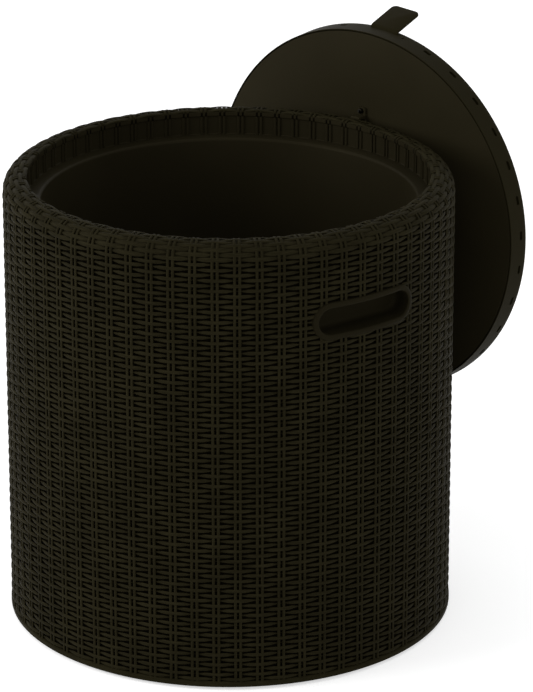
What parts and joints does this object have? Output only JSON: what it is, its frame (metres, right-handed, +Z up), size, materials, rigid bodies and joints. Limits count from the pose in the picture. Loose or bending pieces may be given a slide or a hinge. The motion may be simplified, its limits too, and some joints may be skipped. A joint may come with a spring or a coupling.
{
  "type": "cooler table with lid",
  "caption": "Low round drum with a woven-cane look wall, rolled rim, hand cups and an insulated tub, whose disc lid hangs by its hook on the rim.",
  "frame": {"origin": "on the floor at the drum's axis, the lower face of the centre foot pad", "axes": "+Z up along the drum's axis; the hand cups are on +X and -X; the lid hangs behind the wall near +Y"},
  "size_m": [0.452, 0.4783, 0.5283],
  "materials": {
    "cane_plastic": "satin",
    "rim_plastic": "satin",
    "tub_plastic": "satin",
    "foam": "matte",
    "base_plastic": "satin",
    "pad_rubber": "matte",
    "screw_steel": "satin",
    "cup_plastic": "satin",
    "drain_plastic": "satin",
    "seal_rubber": "matte",
    "lid_plastic": "satin",
    "tab_plastic": "satin"
  },
  "bodies": {
    "drum": {"outer_wall": "cane_plastic", "rim_ring": "rim_plastic", "inner_tub": "tub_plastic", "wall_insulation": "foam", "cup_insulation": "foam", "collar_insulation": "foam", "base_insulation": "foam", "base_cover": "base_plastic", "foot_pads": "pad_rubber", "base_screws": "screw_steel", "hand_cup_right": "cup_plastic", "hand_cup_left": "cup_plastic", "drain_socket": "drain_plastic", "drain_gasket": "seal_rubber", "drain_nut": "drain_plastic"},
    "bung": {"drain_bung": "drain_plastic", "bung_seal": "seal_rubber"},
    "lid": {"lid_shell": "lid_plastic", "lid_underside": "lid_plastic", "lid_core": "foam", "pull_tab": "tab_plastic", "hanger_hook": "tab_plastic", "hook_screw": "screw_steel"}
  },
  "joints": [
    {"name": "lid_lift", "type": "slide", "parent": "drum", "child": "lid", "axis": [0, 0, 1], "range_m": [0, 0.3]},
    {"name": "bung_lift", "type": "slide", "parent": "drum", "child": "bung", "axis": [0, 0, 1], "range_m": [0, 0.41]}
  ]
}
